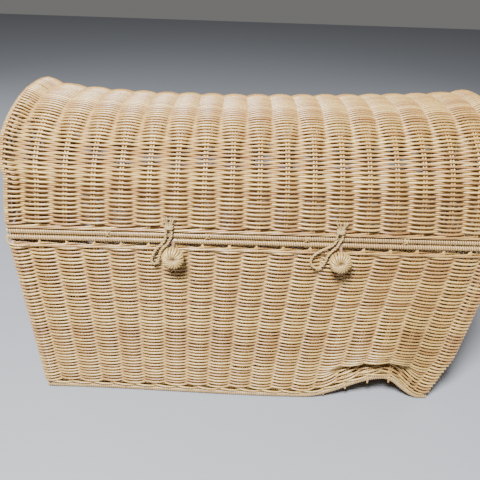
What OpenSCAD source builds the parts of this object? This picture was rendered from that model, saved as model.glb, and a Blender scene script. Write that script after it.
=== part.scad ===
// Wicker storage trunk with a barrel lid.
// Millimetres, +Z up, front towards -Y, long side along X.
// The origin is on the floor, under the middle of the trunk.

/* [Body] */
// Length over the rim rails
rim_len = 840; // [700:5:1010]
// Depth over the rim rails
rim_dep = 400; // [330:5:480]
// Length over the base rails
base_len = 770; // [640:5:925]
// Depth over the base rails
base_dep = 356; // [290:2:428]
// Height of the rim rail's top above the floor
body_h = 360; // [295:5:435]
// Thickness of the woven walls
wall_t = 8; // [7:0.5:9.5]
// Thickness of the woven bottom
bottom_t = 7; // [6:0.5:9]

/* [Lid] */
// Height of the lid's ridge above the rim
lid_rise = 207; // [178:2:258]
// Roundness of the lid's arch: 2 is an ellipse, more is squarer
lid_power = 2.5; // [2:0.1:3.2]
// Gap between the rim rail and the lid rail
lid_gap = 1.2; // [1:0.1:3]

/* [Weave] */
// Diameter of one stake
stake_d = 4; // [3:0.2:4.6]
// Gap between the two stakes of a pair
stake_gap = 0.6; // [0.4:0.1:1.5]
// Pairs of stakes in a long wall, and in the lid
long_pairs = 17; // [11:1:21]
// Pairs of stakes in an end wall
end_pairs = 8; // [5:1:10]
// Height of the twisted bands beside the rails
wale_h = 9; // [6:1:14]
// Thickness of the twisted bands
wale_t = 9; // [8:0.5:11]
// Open strip between the rim rail and the band below it
rim_strip = 3; // [2:0.5:6]

/* [Rails] */
// Diameter of the bare rail rods
rod_d = 8; // [7:0.5:10]
// Thickness of the fine cane wound on the rods
bind_t = 1; // [0.8:0.1:1.5]
// Diameter of the corner posts
post_d = 10; // [9.5:0.5:12]
// Width of the crossed ties on the lid rail
tie_w = 9; // [6:1:14]

/* [Hinges] */
// Distance from the middle hinge loop to each outer one
hinge_x = 280; // [200:5:330]
// Width of a hinge loop
hinge_w = 14; // [8:1:20]
// Thickness of the cane strap in the hinges and stems
strap_t = 1.45; // [1:0.05:1.6]

/* [Buttons and loops] */
// Distance of each button from the middle of the front
button_x = 142; // [100:2:200]
// Diameter of a button, seen from the front
button_d = 38; // [30:1:44]
// Thickness of a button, front to back
button_t = 27; // [22:1:30]
// Drop of a button's centre below the rim rail's centre
button_drop = 24; // [22:1:30]
// Diameter of a button's stem
stem_d = 5; // [4:0.5:6]
// Width of the stem's strap round the rail
stem_w = 8; // [6:1:10]
// Diameter of the twisted closing cord
cord_d = 4.5; // [3.5:0.5:5]
// Height of the cord's knot above the rim
knot_h = 28; // [26:1:34]
// Width of the knot
knot_w = 12; // [10:1:16]

/* [Wear] */
// Shift of the base along X against the rim: 0 is a sound trunk
base_rack = -22; // [-26:1:26]
// Inward lean of the lid's ends, in degrees
lid_lean = 5; // [0:0.5:6]
// Lift of the front base rail where it is buckled: 0 is a sound trunk
buckle_lift = 50; // [0:1:60]
// Where the buckle starts, as a share of the half length
buckle_from = 0.34; // [0.2:0.02:0.5]
// Where the buckle is highest, as a share of the half length
buckle_peak = 0.75; // [0.6:0.01:0.8]

/* [Hidden] */

$fn = 40;
fit = 0.1;               // between pieces that touch in one body
running = 0.05;          // round a rod that turns in a loop
clear = 0.5;             // between pieces of different bodies
sweep_sides = 10;        // corners of a swept rod
arch_steps = 44;         // stretches of the lid's arch
buckle_steps = 28;       // stretches of the buckled rail

rail_r = rod_d / 2 + bind_t;                      // bound rail
floor_gap = 0.2;                                  // rails clear the floor by this
z_base = rail_r + floor_gap;                      // base rail centres
z_rim = body_h - rail_r;                          // rim rail centres
z_lid = body_h + lid_gap + rail_r;                // lid rail centres
base_c = [base_len / 2 - rail_r, base_dep / 2 - rail_r];
rim_c = [rim_len / 2 - rail_r, rim_dep / 2 - rail_r];
wall_z = z_rim - z_base;

// The wall runs between two twisted bands, all measured up the slope.
low_band = rail_r + fit;
wall_from = low_band + wale_h + fit;
stake_stop = rail_r + 1.8;                        // stake ends below the rim's centre
function band_top(side) = slope(side) - rail_r - rim_strip;
function wall_to(side) = band_top(side) - wale_h - fit;

pair_w = 2 * stake_d + stake_gap;                 // width of a pair
slot_w = pair_w + 2 * fit;
slot_t = stake_d + 2 * fit;

strap_r = rod_d / 2 + running + strap_t;          // outside of a strap on a bare rod
bare_rod = 6;                                     // rod left bare beside each stem
button_y = -(rim_dep / 2 + button_t / 2 - 0.8);
button_z = z_rim - button_drop;
cord_y = -(rim_c[1] + strap_r + clear + cord_d / 2);  // plane that the cords hang in
knot_r = cord_d / 2 + running + 1.6;
knot_z = body_h + knot_h;
ridge = lid_rise - lid_gap - rail_r;              // arch height above the lid rail's centre

// ---- shared shapes -------------------------------------------------------

// Between two lists or numbers
function mix(a, b, t) = a + (b - a) * t;
function smooth(t) = let (u = min(1, max(0, t))) u * u * (3 - 2 * u);

// Rise of the buckled base rail at x
function lift(x) =
  let (h = base_c[0], u = x - base_rack, a = buckle_from * h, p = buckle_peak * h)
  buckle_lift * (u < p ? smooth((u - a) / (p - a)) : smooth((h - 8 - u) / (h - 8 - p)));

// Height that pieces over the base rail start at: the rail's upper outline, however steep it is
function over_rail(x) =
  max([for (d = [-1:0.2:1]) lift(x + d * low_band) + low_band * sqrt(1 - d * d)]);

// A point of the lid's arch, t from 0 (front) to 180 (back), set in from the outside
function arch(t, inset) =
  let (c = cos(t), s = max(0, sin(t)), k = 2 / lid_power)
  [-(rim_dep / 2 - inset) * sign(c) * pow(abs(c), k), z_lid + (ridge - inset) * pow(s, k)];
function arch_start(h, inset) = asin(pow(h / (ridge - inset), lid_power / 2));
function arch_height(y, inset) =
  z_lid + (ridge - inset) * pow(1 - pow(abs(y) / (rim_dep / 2 - inset), lid_power), 1 / lid_power);
lid_from = rail_r + fit + wale_h + fit;           // weave starts this far over the rail
function arch_line(inset, from) =
  let (a = arch_start(from, inset))
  [for (i = [0:arch_steps]) arch(mix(a, 180 - a, i / arch_steps), inset)];

// A smooth line through hand-placed points
function curve_at(p, i, t) =
  let (n = len(p), a = p[max(0, i - 1)], b = p[i], c = p[i + 1], d = p[min(n - 1, i + 2)])
  0.5 * (2 * b + (c - a) * t + (2 * a - 5 * b + 4 * c - d) * t * t
         + (3 * b - a - 3 * c + d) * t * t * t);
function curve(p, steps) =
  [for (i = [0:len(p) - 2]) for (j = [0:steps - 1]) curve_at(p, i, j / steps), p[len(p) - 1]];

// A round rod swept along points that lie in a plane with the given normal
function unit(v) = v / norm(v);
function heading(p, i) = unit(p[min(len(p) - 1, i + 1)] - p[max(0, i - 1)]);
module swept(p, r, normal, sides = sweep_sides) {
  rings = [for (i = [0:len(p) - 1]) let (b = cross(heading(p, i), normal))
    for (k = [0:sides - 1]) let (a = 360 * k / sides) p[i] + r * (cos(a) * normal + sin(a) * b)];
  last = (len(p) - 1) * sides;
  walls = [for (i = [0:len(p) - 2]) for (k = [0:sides - 1])
    let (m = (k + 1) % sides, q = i * sides)
    [q + k, q + k + sides, q + m + sides, q + m]];
  ends = [[for (k = [0:sides - 1]) k], [for (k = [0:sides - 1]) last + sides - 1 - k]];
  polyhedron(rings, concat(walls, ends), convexity = 8);
}

// A straight rod between two points
module rod(a, b, r) {
  v = b - a;
  translate(a)
    rotate([0, acos(v[2] / norm(v)), atan2(v[1], v[0])])
      cylinder(h = norm(v), r = r);
}
module rod_x(x0, x1, y, z, r) {
  translate([x0, y, z]) rotate([0, 90, 0]) cylinder(h = x1 - x0, r = r);
}
module rod_y(y0, y1, x, z, r) {
  translate([x, y0, z]) rotate([-90, 0, 0]) cylinder(h = y1 - y0, r = r);
}
module sleeve_x(x0, x1, y, z) {
  difference() {
    rod_x(x0, x1, y, z, rail_r);
    rod_x(x0 - 1, x1 + 1, y, z, rod_d / 2 + running);
  }
}
module sleeve_y(y0, y1, x, z) {
  difference() {
    rod_y(y0, y1, x, z, rail_r);
    rod_y(y0 - 1, y1 + 1, x, z, rod_d / 2 + running);
  }
}

// ---- walls ---------------------------------------------------------------

// Sides are numbered front 0, right 1, back 2, left 3. In a wall's own plane X runs along the
// wall, Y up the slope from the base rail's centre, and Z outwards.
function across(side) = side % 2 == 0 ? 0 : 1;    // index of the length that the wall spans
function facing(side) = 1 - across(side);
function foot_out(side) = base_c[facing(side)] + [0, 1, 0, -1][side] * base_rack;
function foot_along(side) = [1, 0, -1, 0][side] * base_rack;
function lean(side) = atan((rim_c[facing(side)] - foot_out(side)) / wall_z);
function slope(side) = wall_z / cos(lean(side));  // length of the wall up its slope
module on_wall(side) {
  rotate([0, 0, 90 * side])
    translate([0, -foot_out(side), z_base])
      rotate([90 + lean(side), 0, 0])
        children();
}
function wall_half(side, v) =
  mix(base_c[across(side)], rim_c[across(side)], v / slope(side));
function wall_mid(side, v) = foot_along(side) * (1 - v / slope(side));
function pairs(side) = across(side) == 0 ? long_pairs : end_pairs;
function pair_at(side, k, v) =
  wall_mid(side, v) + wall_half(side, v) * (2 * k / (pairs(side) + 1) - 1);
function rise(side, x) = side == 0 ? over_rail(x) - low_band : 0;
// Sideways lean of a pair of stakes in the wall's own plane
function side_lean(side, k) =
  atan((pair_at(side, k, slope(side)) - pair_at(side, k, 0)) / slope(side));

function post_foot(sx, sy) = [sx * base_c[0] + base_rack, sy * base_c[1], z_base];
function post_head(sx, sy) = [sx * rim_c[0], sy * rim_c[1], z_rim];
module post_rod(sx, sy, r) {
  rod(post_foot(sx, sy), post_head(sx, sy), r);
}
module posts_room() {
  for (sx = [-1, 1], sy = [-1, 1]) post_rod(sx, sy, post_d / 2 + fit);
}
// A post's tilted end discs stop short of the rails that it stands between.
module post(sx, sy) {
  foot = post_foot(sx, sy);
  head = post_head(sx, sy);
  tilt = acos(wall_z / norm(head - foot));
  stop = (rail_r + fit + post_d / 2 * sin(tilt)) / wall_z;
  color("tan") rod(mix(foot, head, stop), mix(head, foot, stop), post_d / 2);
}

// A band of the wall between two heights. At the foot of the front, its lower edge, or both
// its edges, follow the buckle. The band stops short of the corners by half the full thickness
// of the wall, so that two walls meet and don't cross.
module band(side, v0, v1, t, full_t, low_bends, top_bends) {
  low = band_edge(side, v0, full_t, low_bends);
  top = band_edge(side, v1, full_t, top_bends);
  linear_extrude(height = t, center = true)
    polygon(concat(low, [for (i = [len(top) - 1:-1:0]) top[i]]));
}
function band_edge(side, v, full_t, bends) =
  let (h = wall_half(side, v) - full_t / 2 - fit,
       n = bends && side == 0 && buckle_lift > 0 ? 2 * buckle_steps : 1)
  [for (i = [0:n]) let (x = wall_mid(side, v) + mix(-h, h, i / n))
    [x, v + (n > 1 ? rise(side, x) : 0)]];

module wall(side) {
  color("burlywood")
    difference() {
      on_wall(side)
        difference() {
          band(side, wall_from, wall_to(side), wall_t, wall_t, true, false);
          for (k = [1:pairs(side)]) stake_slot(side, k);
        }
      posts_room();
    }
}
module stake_slot(side, k) {
  x0 = pair_at(side, k, 0);
  x1 = pair_at(side, k, slope(side));
  w = (stake_d + stake_gap + slot_t / cos(side_lean(side, k))) / 2;
  linear_extrude(height = slot_t, center = true)
    polygon([[x0 - w, 0], [x0 + w, 0], [x1 + w, slope(side)], [x1 - w, slope(side)]]);
}
module wall_stakes(side) {
  color("wheat")
    on_wall(side)
      for (k = [1:pairs(side)], e = [-1, 1]) {
        off = e * (stake_d + stake_gap) / 2;
        corner = stake_d / 2 * abs(sin(side_lean(side, k)));
        x0 = pair_at(side, k, rise(side, pair_at(side, k, 0))) + off;
        over = max(rise(side, x0 - stake_d / 2), rise(side, x0 + stake_d / 2));
        v0 = low_band + over + corner + fit;
        v1 = slope(side) - stake_stop - corner;
        rod([pair_at(side, k, v0) + off, v0, 0], [pair_at(side, k, v1) + off, v1, 0], stake_d / 2);
      }
}

// A twisted band: strands outside and inside the stakes
module wale_pair(side, v0, v1, bends) {
  skin = (wale_t - slot_t) / 2;
  for (e = [-1, 1])
    translate([0, 0, e * (slot_t + skin) / 2])
      band(side, v0, v1, skin, wale_t, bends, bends);
}
module lower_wale() {
  color("peru")
    difference() {
      for (side = [0:3]) on_wall(side) wale_pair(side, low_band, low_band + wale_h, true);
      posts_room();
    }
}
module upper_wale() {
  color("peru")
    difference() {
      for (side = [0:3], top = band_top(side))
        on_wall(side) wale_pair(side, top - wale_h, top, false);
      posts_room();
    }
}

// ---- bottom --------------------------------------------------------------

bottom_half = [base_c[0] - rail_r - fit, base_c[1] - rail_r - fit];
function bottom_pair(k) = base_rack + base_c[0] * (2 * k / (long_pairs + 1) - 1);
module bottom_panel() {
  color("burlywood")
    difference() {
      translate([base_rack - bottom_half[0], -bottom_half[1], 0])
        cube([2 * bottom_half[0], 2 * bottom_half[1], bottom_t]);
      for (k = [1:long_pairs])
        translate([bottom_pair(k) - slot_w / 2, -base_dep, (bottom_t - slot_t) / 2])
          cube([slot_w, 2 * base_dep, slot_t]);
    }
}
module bottom_stakes() {
  color("wheat")
    for (k = [1:long_pairs], e = [-1, 1])
      rod_y(-bottom_half[1], bottom_half[1], bottom_pair(k) + e * (stake_d + stake_gap) / 2,
            bottom_t / 2, stake_d / 2);
}

// ---- rails ---------------------------------------------------------------

module rail_x(c, y, z, mid = 0) {
  color("tan") rod_x(mid - c[0] - rail_r, mid + c[0] + rail_r, y, z, rod_d / 2);
}
module rail_y(c, x, z) {
  reach = c[1] - rail_r - fit;
  color("tan") rod_y(-reach, reach, x, z, rod_d / 2);
}
module bindings(c, z, mid, ends) {
  reach = c[1] - rail_r - fit;
  for (e = ends) sleeve_x(mid - c[0] - rail_r, mid + c[0] + rail_r, e * c[1], z);
  for (e = [-1, 1]) sleeve_y(-reach, reach, mid + e * c[0], z);
}
module buckled_rail() {
  end = base_c[0] + rail_r;
  n = 2 * buckle_steps;
  path = [for (i = [0:n]) let (x = base_rack + mix(-end, end, i / n))
    [x, -base_c[1], z_base + lift(x)]];
  color("tan") swept(path, rail_r, [0, 1, 0]);
}
module base_binding() {
  color("wheat") bindings(base_c, z_base, base_rack, [1]);
}
module rim_binding() {
  color("wheat")
    difference() {
      bindings(rim_c, z_rim, 0, [-1, 1]);
      for (x = [-button_x, button_x])
        translate([x - stem_w / 2 - clear - bare_rod, -rim_dep, z_rim - rim_dep / 2])
          cube([stem_w + 2 * clear + bare_rod, rim_dep, rim_dep]);
      hinge_room(z_rim);
    }
}
module lid_binding() {
  color("wheat")
    difference() {
      bindings(rim_c, z_lid, 0, [-1, 1]);
      hinge_room(z_lid);
    }
}
module hinge_room(z) {
  for (x = [-hinge_x, 0, hinge_x])
    translate([x - hinge_w / 2 - clear, 0, z - rim_dep / 2])
      cube([hinge_w + 2 * clear, rim_dep, rim_dep]);
}

// Wire staples over the rim, one beside each stem and one at the left corner
staple_r = 0.4;
module rim_staples() {
  color("silver")
    for (x = [-button_x, button_x, 14 - rim_c[0]])
      translate([x + stem_w / 2 + 2, -rim_c[1], z_rim])
        rotate([90, 0, 90]) rotate([0, 0, 90])
          rotate_extrude(angle = 180) translate([rail_r + staple_r + fit, 0]) circle(r = staple_r);
}

// ---- hinges --------------------------------------------------------------

// A cane strap round both back rails: fast on the lid's rod, turning on the rim's
module hinge_loop(x) {
  drop = z_lid - z_rim;
  color("sienna")
    translate([x - hinge_w / 2, rim_c[1], z_rim])
      rotate([90, 0, 90])
        linear_extrude(height = hinge_w)
          difference() {
            union() {
              circle(r = strap_r);
              translate([0, drop]) circle(r = strap_r);
              translate([-strap_r, 0]) square([2 * strap_r, drop]);
            }
            circle(r = rod_d / 2 + running);
            translate([0, drop]) circle(r = rod_d / 2 + running);
          }
}

// ---- lid -----------------------------------------------------------------

hoop_x = rim_c[0];
dome_half = hoop_x - rail_r - fit;
module leaning(e) {
  translate([e * hoop_x, 0, z_lid])
    rotate([0, -e * lid_lean, 0])
      translate([-e * hoop_x, 0, -z_lid])
        children();
}
// The room between the two leaning ends, as wide as the rails are deep
module between_ends() {
  foot = hoop_x - (rail_r + fit) / cos(lid_lean);
  top = foot - lid_rise * tan(lid_lean);
  translate([0, rim_dep, z_lid])
    rotate([90, 0, 0])
      linear_extrude(height = 2 * rim_dep)
        polygon([[-foot, 0], [foot, 0], [top, lid_rise], [-top, lid_rise]]);
}
module arch_band(i0, i1, from) {
  outer = arch_line(i0, from);
  inner = arch_line(i1, from);
  polygon(concat(outer, [for (i = [arch_steps:-1:0]) inner[i]]));
}
module along_x(x0, x1) {
  translate([x0, 0, 0]) rotate([90, 0, 90]) linear_extrude(height = x1 - x0) children();
}
dome_skin = rail_r - wall_t / 2;                  // the shell's outside, in from the rails
stake_skin = rail_r - slot_t / 2;
function lid_pair(k) = rim_c[0] * (2 * k / (long_pairs + 1) - 1);
module lid_dome() {
  color("burlywood")
    difference() {
      intersection() {
        along_x(-dome_half, dome_half) arch_band(dome_skin, dome_skin + wall_t, lid_from);
        between_ends();
      }
      for (k = [1:long_pairs])
        along_x(lid_pair(k) - slot_w / 2, lid_pair(k) + slot_w / 2)
          arch_band(stake_skin, stake_skin + slot_t, lid_from - 2);
    }
}
module lid_stakes() {
  color("wheat")
    for (k = [1:long_pairs], e = [-1, 1]) {
      x = lid_pair(k) + e * (stake_d + stake_gap) / 2;
      along_x(x - stake_d / 2, x + stake_d / 2)
        arch_band(stake_skin + fit, stake_skin + fit + stake_d, rail_r + 0.9);
    }
}
module lid_hoop(e) {
  line = arch_line(rail_r, rail_r * (1 + sin(lid_lean)) + fit);
  color("tan")
    leaning(e) swept([for (p = line) [e * hoop_x, p[0], p[1]]], rail_r, [1, 0, 0]);
}

// The lid's end panels stand inside the hoops
end_inset = 2 * rail_r + fit;
function end_pair(k) = rim_c[1] * (2 * k / (end_pairs + 1) - 1);
module lid_end(e) {
  color("burlywood")
    leaning(e) difference() {
      along_x(e * hoop_x - wall_t / 2, e * hoop_x + wall_t / 2)
        polygon(arch_line(end_inset, lid_from));
      for (k = [1:end_pairs])
        translate([e * hoop_x - slot_t / 2, end_pair(k) - slot_w / 2, 0])
          cube([slot_t, slot_w, arch_height(abs(end_pair(k)) + slot_w / 2, end_inset + 3)]);
    }
}
module lid_end_stakes(e) {
  color("wheat")
    for (k = [1:end_pairs], s = [-1, 1]) {
      y = end_pair(k) + s * (stake_d + stake_gap) / 2;
      foot = z_lid + rail_r + 0.9;
      top = arch_height(abs(end_pair(k)) + slot_w / 2, end_inset + 3) - fit;
      leaning(e) translate([e * hoop_x, y, foot]) cylinder(h = top - foot, r = stake_d / 2);
    }
}
// How far the arch has turned in at a height over the lid rail's centre
function turned_in(h) =
  rim_c[1] * (1 - pow(1 - pow(h / (ridge - rail_r), lid_power), 1 / lid_power));
module lid_wale() {
  skin = (wale_t - slot_t) / 2;
  z0 = z_lid + rail_r + fit;
  half = dome_half - lid_from * tan(lid_lean);
  reach = rim_c[1] - rail_r - fit;
  color("peru")
    for (e = [-1, 1], s = [-1, 1]) {
      off = s * (slot_t + skin) / 2 - skin / 2;
      inner = s == -e ? s * turned_in(lid_from) : 0;
      translate([-half, e * rim_c[1] + off + inner, z0]) cube([2 * half, skin, wale_h]);
      leaning(e) translate([e * hoop_x + off, -reach, z0]) cube([skin, 2 * reach, wale_h]);
    }
}
tie_gap = rim_len / 5;
// The ties are open at the top, under the twisted band.
module lid_rail_ties() {
  tie_t = 0.6;
  color("peru")
    for (i = [-1.5:1:1.5])
      difference() {
        rod_x(i * tie_gap - tie_w / 2, i * tie_gap + tie_w / 2, -rim_c[1], z_lid, rail_r + tie_t);
        rod_x(i * tie_gap - tie_w, i * tie_gap + tie_w, -rim_c[1], z_lid, rail_r + running);
        translate([i * tie_gap - tie_w, -rim_dep, z_lid + rail_r])
          cube([2 * tie_w, rim_dep, rail_r]);
      }
}

// ---- buttons and closing loops -------------------------------------------

module button(x) {
  core = (button_d - button_t) / 2;
  color("khaki")
    difference() {
      translate([x, button_y, button_z])
        rotate([90, 0, 0])
          rotate_extrude()
            intersection() {
              union() {
                translate([core, 0]) circle(d = button_t);
                translate([0, -button_t / 2]) square([core, button_t]);
              }
              translate([0, -button_t]) square([button_d, 2 * button_t]);
            }
      stem_rod(x, stem_d / 2 + fit);
    }
}
module stem_rod(x, r) {
  hub = [x, -rim_c[1], z_rim];
  tip = [x, button_y + 2, button_z + button_d / 2 - 4];
  way = unit(tip - hub);
  rod(hub + way * (strap_r - 0.6), tip, r);
}
module button_stem(x) {
  color("peru")
    difference() {
      union() {
        rod_x(x - stem_w / 2, x + stem_w / 2, -rim_c[1], z_rim, strap_r);
        stem_rod(x, stem_d / 2);
      }
      rod_x(x - stem_w, x + stem_w, -rim_c[1], z_rim, rod_d / 2 + running);
    }
}

// Each cord turns in its knot on a straight stretch and hangs in the plane of the front.
// The points run from one end of that stretch to the other: X from the knot's middle, Z from
// its centre.
loop_left = [[-6.5, -17], [-8, -27], [-14, -36], [-21.5, -43.5], [-27, -52],
             [-31, -62], [-32, -70], [-27, -75], [-21.5, -69], [-18.5, -59], [-16, -50],
             [-11.5, -43], [-4.5, -36], [0, -27], [3.5, -17]];
loop_right = [[-6.5, -16], [-7, -23], [-13, -30.5], [-22, -36], [-31.5, -41.5],
              [-41, -49.5], [-46, -60], [-43, -70.5], [-33.5, -75.5], [-25, -69.5],
              [-20.5, -60], [-17.5, -50], [-10.5, -40], [-3.5, -32], [-0.5, -24], [3.5, -16]];
// A wider button pushes its cord further aside.
function knot_x(side) = side * button_x - button_d / 2 + (side < 0 ? 13 : 15.4);
module closing_loop(side, points) {
  grip = knot_w / 2 + 0.4;
  bend = [[grip + 2.4, -8.5], [grip + 3.6, -3], [grip + 1.6, -0.2], [grip - 1.5, 0]];
  line = concat([for (i = [3:-1:0]) [-bend[i][0], bend[i][1]]], points, bend);
  color("darkkhaki") {
    rod_x(knot_x(side) - grip, knot_x(side) + grip, cord_y, knot_z, cord_d / 2);
    swept([for (p = curve(line, 2)) [knot_x(side) + p[0], cord_y, knot_z + p[1]]],
          cord_d / 2 - 0.2, [0, 1, 0], 8);
  }
}
module loop_knot(side) {
  x = knot_x(side);
  color("darkkhaki")
    difference() {
      rod_x(x - knot_w / 2, x + knot_w / 2, cord_y, knot_z, knot_r);
      rod_x(x - knot_w, x + knot_w, cord_y, knot_z, cord_d / 2 + running);
    }
}

bottom_panel();
bottom_stakes();
buckled_rail();  // base_front_rail
rail_x(base_c, base_c[1], z_base, base_rack);  // base_back_rail
rail_y(base_c, base_rack - base_c[0], z_base);  // base_left_rail
rail_y(base_c, base_rack + base_c[0], z_base);  // base_right_rail
base_binding();
post(-1, -1);  // front_left_post
post(1, -1);  // front_right_post
post(-1, 1);  // back_left_post
post(1, 1);  // back_right_post
wall(0);  // front_wall
wall(2);  // back_wall
wall(3);  // left_wall
wall(1);  // right_wall
wall_stakes(0);  // front_stakes
wall_stakes(2);  // back_stakes
wall_stakes(3);  // left_stakes
wall_stakes(1);  // right_stakes
lower_wale();
upper_wale();
rail_x(rim_c, -rim_c[1], z_rim);  // rim_front_rail
rail_x(rim_c, rim_c[1], z_rim);  // rim_back_rail
rail_y(rim_c, -rim_c[0], z_rim);  // rim_left_rail
rail_y(rim_c, rim_c[0], z_rim);  // rim_right_rail
rim_binding();
rim_staples();
rail_x(rim_c, -rim_c[1], z_lid);  // lid_front_rail
rail_x(rim_c, rim_c[1], z_lid);  // lid_back_rail
rail_y(rim_c, -rim_c[0], z_lid);  // lid_left_rail
rail_y(rim_c, rim_c[0], z_lid);  // lid_right_rail
lid_binding();
lid_wale();
lid_rail_ties();
lid_dome();
lid_stakes();
lid_end(-1);  // lid_left_end
lid_end(1);  // lid_right_end
lid_end_stakes(-1);  // lid_left_end_stakes
lid_end_stakes(1);  // lid_right_end_stakes
lid_hoop(-1);  // lid_left_hoop
lid_hoop(1);  // lid_right_hoop
hinge_loop(-hinge_x);  // left_hinge_loop
hinge_loop(0);  // middle_hinge_loop
hinge_loop(hinge_x);  // right_hinge_loop
button(-button_x);  // left_button
button_stem(-button_x);  // left_button_stem
button(button_x);  // right_button
button_stem(button_x);  // right_button_stem
closing_loop(-1, loop_left);  // left_closing_loop
closing_loop(1, loop_right);  // right_closing_loop
loop_knot(-1);  // left_loop_knot
loop_knot(1);  // right_loop_knot
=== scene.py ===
# %% [markdown]
# # A wicker trunk with a barrel lid
# The trunk is a basket: thin round weavers of cane pass before and behind pairs of stakes. Nearly
# everything that shows is a bent round strand, so this scene makes strands, thousands of them, and
# lets them make the surface. A flat panel with a woven picture on it would be lighter, but the gaps
# between the strands, the bumps on the outline and the shadows inside would all be false.

# %% Load the frame
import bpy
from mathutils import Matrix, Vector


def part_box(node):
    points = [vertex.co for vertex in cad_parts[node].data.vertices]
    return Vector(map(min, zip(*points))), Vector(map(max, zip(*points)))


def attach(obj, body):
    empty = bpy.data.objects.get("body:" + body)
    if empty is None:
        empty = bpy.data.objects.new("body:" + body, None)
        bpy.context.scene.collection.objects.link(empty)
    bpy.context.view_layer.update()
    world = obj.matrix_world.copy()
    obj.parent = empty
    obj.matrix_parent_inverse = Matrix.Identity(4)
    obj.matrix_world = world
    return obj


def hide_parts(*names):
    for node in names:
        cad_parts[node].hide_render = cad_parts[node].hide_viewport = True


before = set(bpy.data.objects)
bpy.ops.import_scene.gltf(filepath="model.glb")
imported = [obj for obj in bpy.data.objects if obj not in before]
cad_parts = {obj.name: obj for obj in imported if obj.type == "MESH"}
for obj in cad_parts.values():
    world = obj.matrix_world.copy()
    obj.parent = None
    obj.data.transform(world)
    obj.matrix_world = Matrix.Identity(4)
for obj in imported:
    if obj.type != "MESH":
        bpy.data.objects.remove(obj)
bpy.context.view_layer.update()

import math
import bmesh
import bpy
import numpy as np
from mathutils import Matrix, Vector

# %% [markdown]
# ## The camera
# A person stands over the trunk and looks down at its front. The camera leans down and is turned
# and rolled a little, so it is set by its three angles, with a lens near the eye's own view.

# %% Camera
CAMERA_AT = (-0.044, -1.0016, 0.7969)
PITCH, YAW, ROLL = [math.radians(a) for a in (28.46, 1.02, 2.04)]
lens = bpy.data.cameras.new("camera")
lens.lens = 40.6
lens.sensor_width = 36
camera = bpy.data.objects.new("camera", lens)
bpy.context.scene.collection.objects.link(camera)
ahead = Vector((math.sin(YAW) * math.cos(PITCH), math.cos(YAW) * math.cos(PITCH), -math.sin(PITCH)))
level = Vector((math.cos(YAW), -math.sin(YAW), 0))
right = math.cos(ROLL) * level + math.sin(ROLL) * level.cross(ahead)
up = right.cross(ahead)
camera.matrix_world = Matrix.Translation(CAMERA_AT) @ Matrix((right, up, -ahead)).transposed().to_4x4()
bpy.context.scene.camera = camera
print("camera at", CAMERA_AT)

# %% [markdown]
# ## Measures from the frame
# The CAD nodes give every place: the rails, their rods, the lean of the walls and the lid's arch.
# Reading them here means that a change of size in the design is followed without touching a number.

# %% Measures
MM = 0.001


def middle(node):
    low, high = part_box(node)
    return (low + high) / 2


rim_low, rim_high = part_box("rim_binding")
RAIL = (rim_high.z - rim_low.z) / 2
ROD = (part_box("rim_front_rail")[1].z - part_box("rim_front_rail")[0].z) / 2
RIM = (rim_high.x - RAIL, rim_high.y - RAIL)
Z_RIM = middle("rim_front_rail").z
Z_LID = middle("lid_front_rail").z
Z_BASE = middle("base_back_rail").z
FOOT = ((middle("base_right_rail").x - middle("base_left_rail").x) / 2, middle("base_back_rail").y)
RACK = middle("base_back_rail").x
TALL = Z_RIM - Z_BASE
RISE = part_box("lid_dome")[1].z - Z_LID + 1 * MM - RAIL
ARCH_POWER = 2.5
LEAN = math.tan(math.radians(5))
STAKE = 2 * MM
APART = 2.3 * MM
PAIRS = (17, 8)
print(f"rims {RIM}, feet {FOOT}, rack {RACK:.3f}, arch {RISE:.3f} above the lid's rail")

# %% [markdown]
# ## Chance
# No two strands are quite alike. All chance comes from one seeded source, so that each run gives
# the same trunk.

# %% Seeded chance
chance = np.random.default_rng(7)


def ease(t):
    t = np.clip(t, 0, 1)
    return t * t * (3 - 2 * t)


def eased(value, knots, levels):
    """Steps from level to level at the knots, with a smooth turn at each."""
    i = np.clip(np.searchsorted(knots, value) - 1, 0, len(knots) - 2)
    knots, levels = np.array(knots), np.array(levels)
    t = ease((value - knots[i]) / (knots[i + 1] - knots[i]))
    return levels[i] + (levels[i + 1] - levels[i]) * t


def drift(x, scale, seed, layers=3):
    """A smooth wandering line through zero, made of a few sine waves."""
    source = np.random.default_rng(seed)
    total = 0
    for layer in range(layers):
        wave, start = source.uniform(0.6, 1.6) * (layer + 1), source.uniform(0, 6.3)
        total = total + np.sin(x / scale * wave + start) / (layer + 1)
    return total / layers


# %% [markdown]
# ## Wear of the body
# Years of weight have bowed the foot of the front forwards and pushed the right corner out over the
# buckle. Every strand of the body is bent by the same rule, so rods, weave and winding stay
# together. The bend fades to nothing at the rim, where the lid closes.

# %% Wear
FOOT_BOW = 16 * MM
CORNER_PUSH = 14 * MM


def worn(points):
    """Bends points of the body as the old trunk is bent."""
    x, y, z = np.array(points, float).T
    front = np.clip(-y / FOOT[1], 0, 1) ** 2
    low = np.clip(1 - z / Z_RIM, 0, 1) ** 1.5
    bow = ease((x - RACK + FOOT[0]) / 0.5) * (1 - 0.3 * ease((x - 0.1) / 0.25))
    corner = ease((x - 0.2) / 0.2)
    push = eased(z, [0, 0.03, 0.055, 0.11, 0.24, 0.34], [-0.35, -0.3, 0.1, 0.85, 0.55, 0])
    return np.column_stack([x + CORNER_PUSH * corner * push * (0.4 + 0.6 * front),
                            y - FOOT_BOW * bow * front * low, z])


print("bow of the foot", FOOT_BOW, "push of the corner", CORNER_PUSH)

# %% [markdown]
# ## A strand
# A strand is a line of points with a round section. Blender's curves do just this: each line is a
# spline, the bevel gives the section, and the result is turned into a mesh. Two numbers are kept
# on the mesh for the colour: the tone of each strand, and the distance run along it.

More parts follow.
